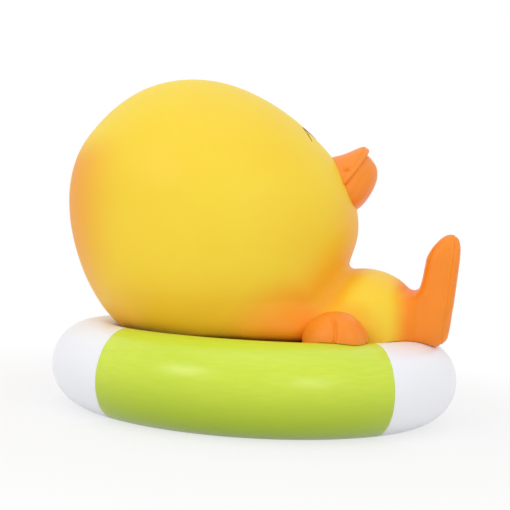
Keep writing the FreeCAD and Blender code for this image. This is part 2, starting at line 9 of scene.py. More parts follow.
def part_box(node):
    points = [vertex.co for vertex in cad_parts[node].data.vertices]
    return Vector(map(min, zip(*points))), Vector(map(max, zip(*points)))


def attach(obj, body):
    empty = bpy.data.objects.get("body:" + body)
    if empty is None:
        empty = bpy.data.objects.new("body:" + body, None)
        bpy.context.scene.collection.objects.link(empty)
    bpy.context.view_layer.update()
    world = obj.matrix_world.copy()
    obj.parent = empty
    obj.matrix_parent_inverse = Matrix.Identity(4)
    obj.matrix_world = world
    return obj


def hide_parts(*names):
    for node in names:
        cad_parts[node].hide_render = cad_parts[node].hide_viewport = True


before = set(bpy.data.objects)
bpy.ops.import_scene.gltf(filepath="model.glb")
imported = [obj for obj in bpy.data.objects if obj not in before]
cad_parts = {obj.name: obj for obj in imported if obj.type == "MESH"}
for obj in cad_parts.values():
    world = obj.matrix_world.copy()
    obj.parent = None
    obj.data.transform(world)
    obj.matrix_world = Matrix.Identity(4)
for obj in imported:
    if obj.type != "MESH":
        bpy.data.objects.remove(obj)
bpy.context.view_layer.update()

# ------------------------------------------------------------------ camera
# Looks at the duck's left side from a little below its middle, turned slightly towards the
# feet, with a slight roll. MM turns the millimetres of this file into the scene's metres.
MM = 0.001
AIM = Vector((0, 0, 90 * MM))
CAMERA_DISTANCE = 500 * MM
TURN, TILT, ROLL = math.radians(3.0), math.radians(-1.03), math.radians(3.27)
LENS, SHIFT_X, SHIFT_Y = 63.18, -0.0131, -0.0207
back = Vector((math.sin(TURN) * math.cos(TILT), -math.cos(TURN) * math.cos(TILT), math.sin(TILT)))
across = Vector((math.cos(TURN), math.sin(TURN), 0))
upward = back.cross(across)
side_axis = across * math.cos(ROLL) + upward * math.sin(ROLL)
top_axis = upward * math.cos(ROLL) - across * math.sin(ROLL)
camera_data = bpy.data.cameras.new("camera")
camera_data.lens, camera_data.shift_x, camera_data.shift_y = LENS, SHIFT_X, SHIFT_Y
camera = bpy.data.objects.new("camera", camera_data)
bpy.context.scene.collection.objects.link(camera)
turned = Matrix((side_axis, top_axis, back)).transposed().to_4x4()
camera.matrix_world = Matrix.Translation(AIM + back * CAMERA_DISTANCE) @ turned
bpy.context.scene.camera = camera


# ------------------------------------------------------------------ studio
# A white table under a bright white tent: even light from all round, one broad soft lamp
# in front to the left, a smaller one to the right and a weak one overhead. The table keeps
# the shadow near the duck, fades to white further off, and can be looked through from below.
bpy.context.scene.view_settings.view_transform = "Standard"
TABLE_RADIUS = 6.0
TABLE_GREY = 0.86
FADE_FROM, FADE_TO = 0.10, 0.34
FADE_LEAST = 0.72
TENT_STRENGTH = 0.75
SEEN = ("Is Camera Ray", "Is Glossy Ray", "Is Transmission Ray")


def piece_of(name, bm):
    """A finished bmesh as an object of the scene, its place in its mesh."""
    mesh = bpy.data.meshes.new(name)
    bm.to_mesh(mesh)
    bm.free()
    piece = bpy.data.objects.new(name, mesh)
    bpy.context.scene.collection.objects.link(piece)
    return piece


def new_material(name):
    material = bpy.data.materials.new(name)
    material.use_nodes = True
    material.node_tree.nodes.clear()
    return material, material.node_tree.nodes, material.node_tree.links


def any_of(nodes, links, ray, *kinds):
    """1 where the ray is of one of the kinds."""
    value = ray.outputs[kinds[0]]
    for kind in kinds[1:]:
        larger = nodes.new("ShaderNodeMath")
        larger.operation = "MAXIMUM"
        links.new(value, larger.inputs[0])
        links.new(ray.outputs[kind], larger.inputs[1])
        value = larger.outputs[0]
    return value


bm = bmesh.new()
bmesh.ops.create_circle(bm, cap_ends=True, segments=64, radius=TABLE_RADIUS)
table = piece_of("table", bm)
material, nodes, links = new_material("white_table")
paper = nodes.new("ShaderNodeBsdfDiffuse")
paper.inputs["Color"].default_value = (TABLE_GREY, TABLE_GREY, TABLE_GREY, 1)
seen_white = nodes.new("ShaderNodeEmission")
seen_white.inputs["Strength"].default_value = 1.0
ray = nodes.new("ShaderNodeLightPath")
place = nodes.new("ShaderNodeTexCoord")
away = nodes.new("ShaderNodeVectorMath")
away.operation = "LENGTH"
links.new(place.outputs["Object"], away.inputs[0])
fade = nodes.new("ShaderNodeMapRange")
fade.interpolation_type = "SMOOTHSTEP"
for socket, number in zip(("From Min", "From Max", "To Min", "To Max"), (FADE_FROM, FADE_TO, FADE_LEAST, 1)):
    fade.inputs[socket].default_value = number
links.new(away.outputs["Value"], fade.inputs["Value"])
veil = nodes.new("ShaderNodeMath")
veil.operation = "MULTIPLY"
links.new(fade.outputs["Result"], veil.inputs[1])
links.new(any_of(nodes, links, ray, *SEEN), veil.inputs[0])
blend_in = nodes.new("ShaderNodeMixShader")
links.new(veil.outputs[0], blend_in.inputs["Fac"])
links.new(paper.outputs[0], blend_in.inputs[1])
links.new(seen_white.outputs[0], blend_in.inputs[2])
clear = nodes.new("ShaderNodeBsdfTransparent")
face = nodes.new("ShaderNodeNewGeometry")
open_below = nodes.new("ShaderNodeMixShader")
links.new(face.outputs["Backfacing"], open_below.inputs["Fac"])
links.new(blend_in.outputs[0], open_below.inputs[1])
links.new(clear.outputs[0], open_below.inputs[2])
out = nodes.new("ShaderNodeOutputMaterial")
links.new(open_below.outputs[0], out.inputs["Surface"])
table.data.materials.append(material)

world = bpy.data.worlds.new("white_tent")
bpy.context.scene.world = world
world.use_nodes = True
nodes, links = world.node_tree.nodes, world.node_tree.links
nodes.clear()
tent = nodes.new("ShaderNodeBackground")
tent.inputs["Strength"].default_value = TENT_STRENGTH
seen_tent = nodes.new("ShaderNodeBackground")
seen_tent.inputs["Strength"].default_value = 1.0
for shader in (tent, seen_tent):
    shader.inputs["Color"].default_value = (1, 1, 1, 1)
ray = nodes.new("ShaderNodeLightPath")
blend_in = nodes.new("ShaderNodeMixShader")
links.new(any_of(nodes, links, ray, *SEEN), blend_in.inputs["Fac"])
links.new(tent.outputs[0], blend_in.inputs[1])
links.new(seen_tent.outputs[0], blend_in.inputs[2])
out = nodes.new("ShaderNodeOutputWorld")
links.new(blend_in.outputs[0], out.inputs["Surface"])


LAMP_DISTANCE = 1.3


def softbox(name, azimuth, elevation, width, height, watts):
    """Area lamp aimed at the duck; azimuth is measured from the camera's side towards +X."""
    lamp_data = bpy.data.lights.new(name, "AREA")
    lamp_data.shape = "RECTANGLE"
    lamp_data.size, lamp_data.size_y = width, height
    lamp_data.energy = watts
    lamp = bpy.data.objects.new(name, lamp_data)
    bpy.context.scene.collection.objects.link(lamp)
    a, e = math.radians(azimuth), math.radians(elevation)
    towards = Vector((math.sin(a) * math.cos(e), -math.cos(a) * math.cos(e), math.sin(e)))
    lamp.location = AIM + towards * LAMP_DISTANCE
    lamp.rotation_euler = towards.to_track_quat("Z", "Y").to_euler()


softbox("softbox_left", -38, 32, width=0.42, height=0.42, watts=2.4)
softbox("softbox_right", 34, 22, width=0.30, height=0.36, watts=1.6)
softbox("softbox_top", 0, 80, width=0.9, height=0.9, watts=1.6)


# ------------------------------------------------------------------ swim ring
# Four blow-moulded floats of glossy plastic, green at the sides and white at the ends.
# Each is closed at its seams, and small lugs inside the ring take the carrier's screws.
ring_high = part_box("front_float")[1]
plate_low, plate_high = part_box("carrier_plate")
RING_FLAT = 0.3 * MM
TUBE_R = (ring_high.z + RING_FLAT) / 2
TUBE_Z = ring_high.z - TUBE_R
RING_R = ring_high.x - TUBE_R
SEAM_SKEW = math.radians(20)
SEAM_AZIMUTH = math.radians(44.4)
SEAM_DISTANCE = RING_R * math.sin(SEAM_AZIMUTH - SEAM_SKEW)
SEAM_ROUND, SEAM_SNAP = 0.25 * MM, 0.5 * MM
LUG_ANGLE = math.radians(20)
LUG_WIDTH, LUG_DEPTH, LUG_ROUND = 9.0 * MM, 10.0 * MM, 0.8 * MM
LUG_IN_R = plate_high.x - 8.0 * MM
LUG_OUT_R = RING_R - TUBE_R * 0.7


def tube_ring(bm, tube_r, around, about):
    """A whole ring of the swim ring's path."""
    made = bmesh.ops.create_circle(bm, cap_ends=False, segments=around, radius=tube_r)
    bmesh.ops.rotate(bm, verts=made["verts"], cent=(0, 0, 0), matrix=Matrix.Rotation(math.pi / 2, 3, "X"))
    bmesh.ops.translate(bm, verts=made["verts"], vec=(RING_R, 0, TUBE_Z))
    edges = list({edge for vert in made["verts"] for edge in vert.link_edges})
    bmesh.ops.spin(bm, geom=made["verts"] + edges, cent=(0, 0, 0), axis=(0, 0, 1), dvec=(0, 0, 0),
                   angle=2 * math.pi, steps=about, use_merge=True)


def all_of(bm):
    return bm.verts[:] + bm.edges[:] + bm.faces[:]


def cut_off(bm, point, normal, snap=0.0):
    """Takes away what lies on the normal's side of a plane and closes the cut.

    Corners nearer to the plane than snap are first drawn onto it, so the cut leaves no slivers.
    """
    for vert in bm.verts:
        off = (vert.co - Vector(point)).dot(Vector(normal))
        if abs(off) < snap:
            vert.co -= Vector(normal) * off
    bmesh.ops.bisect_plane(bm, geom=all_of(bm), dist=1e-7, plane_co=point, plane_no=normal, clear_outer=True)
    rim = [edge for edge in bm.edges if edge.is_boundary]
    if rim:
        bmesh.ops.holes_fill(bm, edges=rim, sides=0)


def float_mesh(middle):
    """One float around the given angle; its seams lean so that the green is longer on the outside."""
    bm = bmesh.new()
    tube_ring(bm, TUBE_R, 96, 288)
    bmesh.ops.recalc_face_normals(bm, faces=bm.faces)
    for face in bm.faces:
        face.smooth = True
    at_end = abs(math.cos(middle)) > 0.5
    outward = Vector((math.cos(middle), math.sin(middle), 0))
    for side in (-1, 1):
        end_side, across_side = (outward.x, side) if at_end else (side, outward.y)
        normal = Vector((end_side * math.cos(SEAM_SKEW), -across_side * math.sin(SEAM_SKEW), 0))
        cut_off(bm, normal * SEAM_DISTANCE, -normal if at_end else normal, snap=SEAM_SNAP)
    stray = [vert for vert in bm.verts if vert.co.dot(outward) < 0]
    bmesh.ops.delete(bm, geom=stray, context="VERTS")
    ends = [face for face in bm.faces if len(face.verts) > 8]
    rims = list({edge for face in ends for edge in face.edges})
    for face in ends:
        face.smooth = False
    bmesh.ops.bevel(bm, geom=rims, offset=SEAM_ROUND, segments=3, profile=0.5, affect="EDGES", material=-1)
    cut_off(bm, (0, 0, 0), (0, 0, -1))
    for side in (-1, 1):
        lug = bmesh.ops.create_cube(bm, size=1)["verts"]
        bmesh.ops.scale(bm, verts=lug, vec=(LUG_OUT_R - LUG_IN_R, LUG_WIDTH, LUG_DEPTH))
        lug_place = ((LUG_IN_R + LUG_OUT_R) / 2, 0, plate_low.z - LUG_DEPTH / 2)
        bmesh.ops.translate(bm, verts=lug, vec=lug_place)
        turn = Matrix.Rotation(middle + side * LUG_ANGLE, 3, "Z")
        bmesh.ops.rotate(bm, verts=lug, cent=(0, 0, 0), matrix=turn)
        edges = list({edge for vert in lug for edge in vert.link_edges})
        bmesh.ops.bevel(bm, geom=edges, offset=LUG_ROUND, segments=2, profile=0.5, affect="EDGES",
                        material=-1)
    return bm


def ranged(nodes, links, value, low, high, to_low, to_high, smooth=False):
    """The value's range low to high drawn onto another range."""
    made = nodes.new("ShaderNodeMapRange")
    made.interpolation_type = "SMOOTHSTEP" if smooth else "LINEAR"
    for socket, number in zip(("From Min", "From Max", "To Min", "To Max"), (low, high, to_low, to_high)):
        made.inputs[socket].default_value = number
    links.new(value, made.inputs["Value"])
    return made.outputs["Result"]


def mixed(nodes, links, factor, first, second):
    """Colour between two colours, each a socket or four numbers."""
    made = nodes.new("ShaderNodeMix")
    made.data_type = "RGBA"
    for socket, colour in ((made.inputs[6], first), (made.inputs[7], second)):
        if isinstance(colour, tuple):
            socket.default_value = colour
        else:
            links.new(colour, socket)
    links.new(factor, made.inputs["Factor"])
    return made.outputs[2]


def moulded_skin():
    """Group: cloudiness of the pigment, roughness in patches and a fine orange-peel height."""
    group = bpy.data.node_groups.new("moulded_skin", "ShaderNodeTree")
    for name in ("Cloud Scale", "Peel Scale", "Roughness", "Spread"):
        group.interface.new_socket(name=name, in_out="INPUT", socket_type="NodeSocketFloat")
    for name in ("Cloud", "Roughness", "Height"):
        group.interface.new_socket(name=name, in_out="OUTPUT", socket_type="NodeSocketFloat")
    nodes, links = group.nodes, group.links
    given, put = nodes.new("NodeGroupInput"), nodes.new("NodeGroupOutput")
    place = nodes.new("ShaderNodeTexCoord").outputs["Object"]
    cloud = nodes.new("ShaderNodeTexNoise")
    cloud.inputs["Detail"].default_value = 3
    peel = nodes.new("ShaderNodeTexNoise")
    peel.inputs["Detail"].default_value = 2
    for texture, name in ((cloud, "Cloud Scale"), (peel, "Peel Scale")):
        links.new(place, texture.inputs["Vector"])
        links.new(given.outputs[name], texture.inputs["Scale"])
    centred = nodes.new("ShaderNodeMath")
    centred.operation = "SUBTRACT"
    centred.inputs[1].default_value = 0.5
    links.new(cloud.outputs["Fac"], centred.inputs[0])
    spread = nodes.new("ShaderNodeMath")
    spread.operation = "MULTIPLY_ADD"
    links.new(centred.outputs[0], spread.inputs[0])
    links.new(given.outputs["Spread"], spread.inputs[1])
    links.new(given.outputs["Roughness"], spread.inputs[2])
    links.new(cloud.outputs["Fac"], put.inputs["Cloud"])
    links.new(spread.outputs[0], put.inputs["Roughness"])
    links.new(peel.outputs["Fac"], put.inputs["Height"])
    return group


MOULDED = moulded_skin()
PEEL_HEIGHT, LIGHT_DEPTH = 0.2 * MM, 4 * MM


def plastic(name, colour_of, cloud_scale=18.0, peel_scale=900.0, roughness=0.38, spread=0.16, peel=0.06,
            subsurface=0.0, subsurface_colour=(1.0, 0.35, 0.1), metallic=0.0, gloss=0.5):
    """Moulded plastic; colour_of(nodes, links, cloud) gives its colour socket."""
    material, nodes, links = new_material(name)
    skin = nodes.new("ShaderNodeGroup")
    skin.node_tree = MOULDED
    for socket, number in zip(("Cloud Scale", "Peel Scale", "Roughness", "Spread"),
                              (cloud_scale, peel_scale, roughness, spread)):
        skin.inputs[socket].default_value = number
    shader = nodes.new("ShaderNodeBsdfPrincipled")
    shader.inputs["Subsurface Weight"].default_value = subsurface
    shader.inputs["Subsurface Radius"].default_value = subsurface_colour
    shader.inputs["Subsurface Scale"].default_value = LIGHT_DEPTH
    shader.inputs["Metallic"].default_value = metallic
    shader.inputs["Specular IOR Level"].default_value = gloss
    links.new(colour_of(nodes, links, skin.outputs["Cloud"]), shader.inputs["Base Color"])
    links.new(skin.outputs["Roughness"], shader.inputs["Roughness"])
    bump = nodes.new("ShaderNodeBump")
    bump.inputs["Strength"].default_value = peel
    bump.inputs["Distance"].default_value = PEEL_HEIGHT
    links.new(skin.outputs["Height"], bump.inputs["Height"])
    links.new(bump.outputs["Normal"], shader.inputs["Normal"])
    out = nodes.new("ShaderNodeOutputMaterial")
    links.new(shader.outputs[0], out.inputs["Surface"])
    return material


def two_tone(dark, light):
    """Colour that drifts between two close tones with the cloudiness."""
    def colour_of(nodes, links, cloud):
        drift = ranged(nodes, links, cloud, 0.3, 0.7, 0, 1)
        return mixed(nodes, links, drift, (*dark, 1), (*light, 1))
    return colour_of


STREAK_SCALE, STREAK_STRETCH = 620, 0.02
# Heights between which the green darkens towards the underside as painted shade.
SHADE_FROM, SHADE_TO = 32 * MM, 4 * MM


def green_of(nodes, links, cloud):
    """Green with faint streaks along the ring, darkened towards its underside as painted shade."""
    place = nodes.new("ShaderNodeTexCoord").outputs["Object"]
    parts = nodes.new("ShaderNodeSeparateXYZ")
    links.new(place, parts.inputs[0])
    level = nodes.new("ShaderNodeCombineXYZ")
    for axis in ("X", "Y"):
        links.new(parts.outputs[axis], level.inputs[axis])
    out_from_axis = nodes.new("ShaderNodeVectorMath")
    out_from_axis.operation = "LENGTH"
    links.new(level.outputs[0], out_from_axis.inputs[0])
    turn = nodes.new("ShaderNodeMath")
    turn.operation = "ARCTAN2"
    links.new(parts.outputs["Y"], turn.inputs[0])
    links.new(parts.outputs["X"], turn.inputs[1])
    stretched = nodes.new("ShaderNodeMath")
    stretched.operation = "MULTIPLY"
    stretched.inputs[1].default_value = STREAK_STRETCH
    links.new(turn.outputs[0], stretched.inputs[0])
    along_ring = nodes.new("ShaderNodeCombineXYZ")
    links.new(out_from_axis.outputs["Value"], along_ring.inputs["X"])
    links.new(stretched.outputs[0], along_ring.inputs["Y"])
    links.new(parts.outputs["Z"], along_ring.inputs["Z"])
    streak = nodes.new("ShaderNodeTexNoise")
    streak.inputs["Scale"].default_value = STREAK_SCALE
    streak.inputs["Detail"].default_value = 2
    links.new(along_ring.outputs[0], streak.inputs["Vector"])
    faint = ranged(nodes, links, streak.outputs["Fac"], 0.35, 0.65, 0, 0.35)
    base = two_tone((0.62, 0.77, 0.045), (0.67, 0.81, 0.055))(nodes, links, cloud)
    streaked = mixed(nodes, links, faint, base, (0.54, 0.72, 0.030, 1))
    # Painted shade: the green turns darker towards the ring's underside.
    underside_shade = ranged(nodes, links, parts.outputs["Z"], SHADE_FROM, SHADE_TO, 0, 1, smooth=True)
    return mixed(nodes, links, underside_shade, streaked, (0.40, 0.54, 0.012, 1))


green_gloss = plastic("green_gloss", green_of, roughness=0.30, spread=0.10)
white_gloss = plastic("white_gloss", two_tone((0.88, 0.895, 0.965), (0.92, 0.93, 0.985)),
                      roughness=0.33, spread=0.1, subsurface=0.1, subsurface_colour=(1, 1, 1))
for name, middle, finish, slot in (("front_float", 0, white_gloss, "white_plastic"),
                                   ("right_float", math.pi / 2, green_gloss, "green_plastic"),
                                   ("rear_float", math.pi, white_gloss, "white_plastic"),
                                   ("left_float", -math.pi / 2, green_gloss, "green_plastic")):
    float_piece = piece_of(name + "_skin", float_mesh(middle))
    float_piece.data.materials.append(finish)
    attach(float_piece, "float")
    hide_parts(name)


# ------------------------------------------------------------------ duck's body
# A hollow skin of soft vinyl: the big head, the round belly and a low collar are one moulding,
# yellow right through; orange is painted as shade at the nape, round the neck, at the shoulders and down by
# the ring.
# The legs are grown with it and cut off at the ankles, where the boots are plugged on.
duck_low, duck_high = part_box("duck_shell")
BASE_Z = duck_low.z
HEAD_SECTIONS = np.array([       # height, rear, front, half width, in mm above the base
    (0.0, -74.5, 42.0, 66.0), (9.0, -84.5, 45.5, 68.0), (21.0, -93.0, 45.0, 71.5),
    (39.0, -101.5, 48.6, 75.0), (59.0, -106.8, 53.2, 76.0), (77.0, -107.6, 50.0, 74.5),
    (94.0, -103.8, 40.5, 68.0), (110.0, -94.0, 25.5, 57.0), (122.5, -82.5, 9.5, 43.0),
    (132.0, -68.5, -8.5, 27.5), (136.6, -55.5, -22.5, 15.0), (138.5, -38.5, -38.5, 0.0)]) * MM
BODY_TURN = Matrix.Rotation(math.radians(-7), 4, "Z")
BELLY = Vector((58.9 * MM, 0, BASE_Z + 9.0 * MM))
BELLY_RADII = Vector((33.0, 43.0, 30.0)) * MM
COLLAR_R, COLLAR_HEIGHT, COLLAR_ROUND = 67.5 * MM, 15.0 * MM, 9.0 * MM
SKIN, SEAT_GAP, MOUTH_R = 2.5 * MM, 0.3 * MM, 46.3 * MM
BODY_VOXEL, HOLLOW_VOXEL = 1.6 * MM, 3.0 * MM


def flowing(knots, values, where):
    """Smooth line through the values at the knots, read at the given places."""
    slopes = np.gradient(values, knots, edge_order=2)
    k = np.clip(np.searchsorted(knots, where) - 1, 0, len(knots) - 2)
    span = knots[k + 1] - knots[k]
    t = (where - knots[k]) / span
    return ((2 * t**3 - 3 * t**2 + 1) * values[k] + (t**3 - 2 * t**2 + t) * span * slopes[k]
            + (3 * t**2 - 2 * t**3) * values[k + 1] + (t**3 - t**2) * span * slopes[k + 1])


GIRTH = (HEAD_SECTIONS[:, 2] - HEAD_SECTIONS[:, 1]) / 2
CLIMB = np.concatenate(([0], np.cumsum(np.hypot(np.diff(HEAD_SECTIONS[:, 0]), np.diff(GIRTH)))))


def head_at(climb):
    """Height, middle, half length and half width of the head at a length up its side."""
    rows = [flowing(CLIMB, HEAD_SECTIONS[:, k], climb) for k in range(4)]
    return rows[0], (rows[1] + rows[2]) / 2, (rows[2] - rows[1]) / 2, rows[3]


def add_head(bm, inset):
    """A ball drawn onto the head's sections: its lowest rings make the flat base."""
    ball = bmesh.ops.create_uvsphere(bm, u_segments=192, v_segments=120, radius=1)["verts"]
    base_share = 0.16
    co = np.array([vert.co for vert in ball])
    share = np.arccos(np.clip(-co[:, 2], -1, 1)) / math.pi
    flat = np.clip(share / base_share, 0, 1)
    height, middle, half, wide = head_at(np.clip((share - base_share) / (1 - base_share), 0, 1) * CLIMB[-1])
    level = np.hypot(co[:, 0], co[:, 1])
    level[level < 1e-9] = 1
    x = middle + np.maximum(half - inset, 0) * flat * co[:, 0] / level
    y = np.maximum(wide - inset, 0) * flat * co[:, 1] / level
    z = BASE_Z + np.where(share < base_share, inset, np.clip(height, inset, duck_high.z - BASE_Z - inset))
    for vert, place in zip(ball, zip(x, y, z)):
        vert.co = place


def add_belly(bm, inset):
    ball = bmesh.ops.create_uvsphere(bm, u_segments=96, v_segments=64, radius=1)["verts"]
    bmesh.ops.scale(bm, verts=ball, vec=BELLY_RADII - Vector((inset,) * 3))
    bmesh.ops.translate(bm, verts=ball, vec=BELLY)
    bmesh.ops.rotate(bm, verts=ball, cent=(0, 0, 0), matrix=BODY_TURN.to_3x3())


def add_collar(bm, inset):
    """Shallow drum with a rounded brim."""
    rim = bmesh.ops.create_circle(bm, cap_ends=True, segments=128, radius=COLLAR_R - inset)["verts"]
    bmesh.ops.translate(bm, verts=rim, vec=(0, 0, BASE_Z + inset))
    face = rim[0].link_faces[0]
    raised = bmesh.ops.extrude_face_region(bm, geom=[face])["geom"]
    top = [item for item in raised if isinstance(item, bmesh.types.BMVert)]
    bmesh.ops.translate(bm, verts=top, vec=(0, 0, COLLAR_HEIGHT - 2 * inset))
    edges = [item for item in raised if isinstance(item, bmesh.types.BMEdge)]
    bmesh.ops.bevel(bm, geom=edges, offset=COLLAR_ROUND - inset, segments=10, profile=0.5,
                    affect="EDGES", material=-1)


def relax(bm, verts, rounds):
    for again in range(rounds):
        bmesh.ops.smooth_vert(bm, verts=verts, factor=0.5, use_axis_x=True, use_axis_y=True, use_axis_z=True)


def fused(name, makers, inset, voxel, smoothing):
    """The given forms grown into one closed skin, its creases softened."""
    bm = bmesh.new()
    for maker in makers:
        maker(bm, inset)
    bmesh.ops.recalc_face_normals(bm, faces=bm.faces)
    piece = piece_of(name, bm)
    remesh = piece.modifiers.new("remesh", "REMESH")
    remesh.mode = "VOXEL"
    remesh.voxel_size = voxel
    whole = bpy.data.meshes.new_from_object(piece.evaluated_get(bpy.context.evaluated_depsgraph_get()))
    bpy.data.objects.remove(piece)
    bm = bmesh.new()
    bm.from_mesh(whole)
    relax(bm, bm.verts, smoothing)
    return piece_of(name, bm)


def carved(piece, *tools):
    """The piece less the tools."""
    for tool in tools:
        cut = piece.modifiers.new("cut", "BOOLEAN")
        cut.operation = "DIFFERENCE"
        cut.solver = "EXACT"
        cut.object = tool
    bpy.context.view_layer.update()
    mesh = bpy.data.meshes.new_from_object(piece.evaluated_get(bpy.context.evaluated_depsgraph_get()))
    piece.modifiers.clear()
    piece.data = mesh


SHARP_FROM = math.radians(38)


def smoothed(piece):
    """Smooth shading, with an edge kept wherever a cut leaves one."""
    for polygon in piece.data.polygons:
        polygon.use_smooth = True
    piece.data.set_sharp_from_angle(angle=SHARP_FROM)


def ring_bed(name):
    bm = bmesh.new()
    tube_ring(bm, TUBE_R + SEAT_GAP, 64, 192)
    bmesh.ops.recalc_face_normals(bm, faces=bm.faces)
    return piece_of(name, bm)


FOOT_Y, FOOT_HALF_WIDTH, FOOT_ROUND = 17.0 * MM, 13.2 * MM, 5.0 * MM
FOOT_MIDDLE, FOOT_REACH, FOOT_FULLNESS = 30.0 * MM, 32.6 * MM, 3.2
FOOT_OUTLINE = (                 # ahead of the ring's tube middle and above the base, in mm
    (-24, 8), (-24, 16), (-15, 21), (-7.8, 22.6), (-2.8, 25.6), (0.4, 29.4), (1.7, 36), (3.2, 47),
    (5.8, 52.2), (9.6, 56.6), (13.0, 59.0), (16.4, 59.2), (18.9, 56.8), (19.9, 52), (19.7, 45),
    (16.9, 12), (15.8, 4.4), (12.3, 1.0), (8, -0.2), (0, 1.0), (-12, 3.5))


def add_feet(bm, inset):
    """Both legs with their feet: the outline drawn out across each foot, its long edges rounded."""
    for side in (-1, 1):
        boot = bmesh.new()
        near = side * FOOT_Y - FOOT_HALF_WIDTH
        rim = [boot.verts.new((RING_R + x * MM, near, BASE_Z + z * MM)) for x, z in FOOT_OUTLINE]
        drawn = bmesh.ops.extrude_face_region(boot, geom=[boot.faces.new(rim)], use_keep_orig=True)["geom"]
        far = [item for item in drawn if isinstance(item, bmesh.types.BMVert)]
        bmesh.ops.translate(boot, verts=far, vec=(0, 2 * FOOT_HALF_WIDTH, 0))
        bmesh.ops.recalc_face_normals(boot, faces=boot.faces)
        ends = [end for end in boot.faces if len(end.verts) > 4]
        edges = list({edge for end in ends for edge in end.edges})
        bmesh.ops.bevel(boot, geom=edges, offset=FOOT_ROUND, segments=5, profile=0.5, affect="EDGES",
                        material=-1)
        for vert in boot.verts:
            off = min(abs(vert.co.z - BASE_Z - FOOT_MIDDLE) / FOOT_REACH, 1)
            width_share = (1 - off**FOOT_FULLNESS) ** (1 / FOOT_FULLNESS)
            vert.co.y = side * FOOT_Y + (vert.co.y - side * FOOT_Y) * width_share
        bmesh.ops.rotate(boot, verts=boot.verts, cent=(0, 0, 0), matrix=BODY_TURN.to_3x3())
        mesh = bpy.data.meshes.new("boot")
        boot.to_mesh(mesh)
        boot.free()
        bm.from_mesh(mesh)
        bpy.data.meshes.remove(mesh)


def add_body(bm, inset):
    for maker in (add_head, add_belly, add_collar, add_feet):
        maker(bm, inset)


def head_gap(points):
    """How far points lie outside the head, roughly, in metres."""
    climb = np.linspace(0, CLIMB[-1], 400)
    height, middle, half, wide = head_at(climb)
    level = points[:, 2] - BASE_Z
    middle, half, wide = (np.interp(level, height, row) for row in (middle, half, wide))
    reach = np.hypot((points[:, 0] - middle) / np.maximum(half, MM), points[:, 1] / np.maximum(wide, MM))
    return (reach - 1) * np.minimum(half, wide)


def belly_gap(points):
    """How far points lie outside the belly, roughly, in metres."""
    turned_back = points @ np.array(BODY_TURN.to_3x3())
    reach = np.linalg.norm((turned_back - np.array(BELLY)) / np.array(BELLY_RADII), axis=1)
    return (reach - 1) * BELLY_RADII.x


def step(value, low, high):
    """Rises smoothly from 0 at low to 1 at high."""
    t = np.clip((value - low) / (high - low), 0, 1)
    return t * t * (3 - 2 * t)


THIGH = np.array((80 * MM, -10 * MM, BASE_Z + 14 * MM))
THIGH_FRONT = 88 * MM
SOFTENING = ((0.15, 20), (0.5, 30), (0.85, 30))     # from which softness, how many rounds


def softness_at(at):
    """Where the moulding's creases run out softly: the flanks of the neck, the brim and the thighs."""
    aside, above = np.abs(at[:, 1]), at[:, 2] - BASE_Z
    crease = 1 - step(np.maximum(np.abs(head_gap(at)), np.abs(belly_gap(at))), 4 * MM, 13 * MM)
    flank = step(aside, 10 * MM, 26 * MM)
    low_side = (1 - step(above, 16 * MM, 24 * MM)) * step(aside, 26 * MM, 40 * MM)
    from_thigh = np.linalg.norm((at - THIGH) * (1, 0.5, 1), axis=1)
    thigh = (1 - step(from_thigh, 14 * MM, 22 * MM)) * (at[:, 0] < THIGH_FRONT)
    return np.maximum.reduce([crease * flank, low_side, thigh])


body = fused("duck_body", (add_body,), 0.0, BODY_VOXEL, 2)
bm = bmesh.new()
bm.from_mesh(body.data)
bpy.data.objects.remove(body)
softness = softness_at(np.array([vert.co for vert in bm.verts]))
for least, rounds in SOFTENING:
    relax(bm, [vert for vert, soft in zip(bm.verts, softness) if soft > least], rounds)
body = piece_of("duck_body", bm)
bed = ring_bed("duck_bed")
carved(body, bed)

ANKLE = 87.2 * MM
ankle_normal = BODY_TURN.to_3x3() @ Vector((1, 0, 0))


def half_of(piece, name, keep_front):
    """The piece before or behind the ankles, its cut closed."""
    bm = bmesh.new()
    bm.from_mesh(piece.data)
    cut_off(bm, ankle_normal * ANKLE, -ankle_normal if keep_front else ankle_normal)
    return piece_of(name, bm)


duck = half_of(body, "duck_skin", False)
feet = half_of(body, "feet", True)
hollow = fused("duck_hollow", (add_head, add_belly), SKIN, HOLLOW_VOXEL, 4)
bm = bmesh.new()
bmesh.ops.create_cone(bm, cap_ends=True, segments=96, radius1=MOUTH_R, radius2=MOUTH_R, depth=12 * MM,
                      matrix=Matrix.Translation((0, 0, BASE_Z)))
mouth = piece_of("duck_mouth", bm)
carved(duck, hollow, mouth)

SHOULDER = np.array((24.0, -56.0, 44.0)) * MM
SHOULDER_SPREAD = (0.75, 1, 1.3)          # over 1 narrows the painted shade along that axis
# Strengths of the orange painted as shade: in the neck crease, at the nape, low on the face under the bill,
# along the lower edge by the ring and at the shoulders beside the hands.
NECK_CREASE_SHADE, NAPE_SHADE, FACE_SHADE, BRIM_SHADE, SHOULDER_SHADE = 0.54, 0.78, 0.34, 0.38, 0.92
BELLY_CREASE_SHADE, BELLY_SIDE_SHADE = 0.62, 0.4


